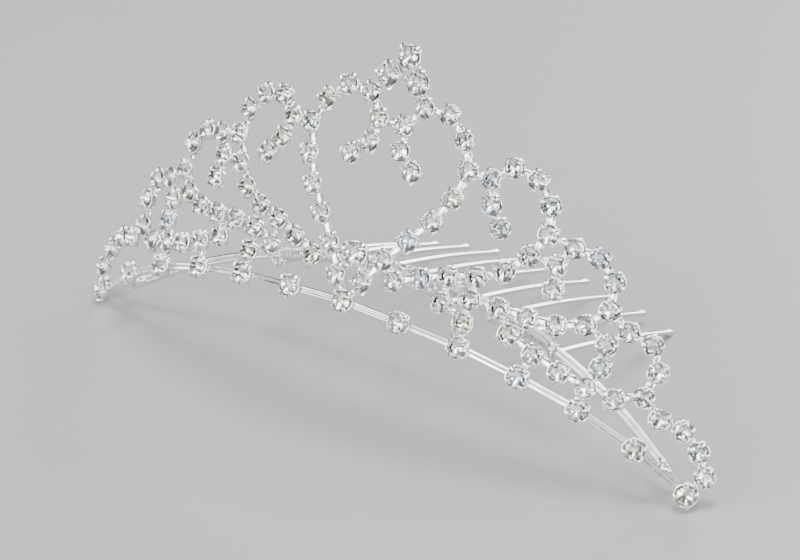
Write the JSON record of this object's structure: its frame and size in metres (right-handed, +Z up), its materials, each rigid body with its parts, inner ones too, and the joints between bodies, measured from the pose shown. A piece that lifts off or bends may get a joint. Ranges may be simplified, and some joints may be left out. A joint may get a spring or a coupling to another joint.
{
  "type": "tiara comb",
  "caption": "Curved tiara front of claw-set stone chains in a heart-and-scroll design, soldered to a wire hair comb with long round teeth.",
  "frame": {"origin": "middle of the part's box at the height of the surface that it stands on", "axes": "+X to the right along the front as it is seen from before it, +Y back along the comb's teeth, +Z up"},
  "size_m": [0.111, 0.0512, 0.0538],
  "materials": {
    "silver_plate": "bright silver plating on cast cups and links",
    "comb_wire": "bright silver plating on drawn wire",
    "crystal": "clear cut stones with a foiled back"
  },
  "bodies": {
    "root": {"front_band": "silver_plate", "front_band_stones": "crystal", "heart_right": "silver_plate", "heart_right_stones": "crystal", "heart_left": "silver_plate", "heart_left_stones": "crystal", "peak": "silver_plate", "peak_stones": "crystal", "heart_foot": "silver_plate", "heart_foot_stone": "crystal", "inner_scroll_right": "silver_plate", "inner_scroll_right_stones": "crystal", "inner_scroll_left": "silver_plate", "inner_scroll_left_stones": "crystal", "middle_scroll_right": "silver_plate", "middle_scroll_right_stones": "crystal", "middle_scroll_left": "silver_plate", "middle_scroll_left_stones": "crystal", "outer_scroll_right": "silver_plate", "outer_scroll_right_stones": "crystal", "outer_scroll_left": "silver_plate", "outer_scroll_left_stones": "crystal", "end_sweep_right": "silver_plate", "end_sweep_right_stones": "crystal", "end_sweep_left": "silver_plate", "end_sweep_left_stones": "crystal", "band_link_right": "silver_plate", "band_link_right_stone": "crystal", "band_link_left": "silver_plate", "band_link_left_stone": "crystal", "comb_bar": "comb_wire", "comb_winding": "comb_wire", "middle_strut": "comb_wire", "end_strut_right": "comb_wire", "end_strut_left": "comb_wire", "tooth_1": "comb_wire", "tooth_2": "comb_wire", "tooth_3": "comb_wire", "tooth_4": "comb_wire", "tooth_5": "comb_wire", "tooth_6": "comb_wire", "tooth_7": "comb_wire", "tooth_8": "comb_wire", "tooth_9": "comb_wire", "tooth_10": "comb_wire"}
  },
  "joints": []
}
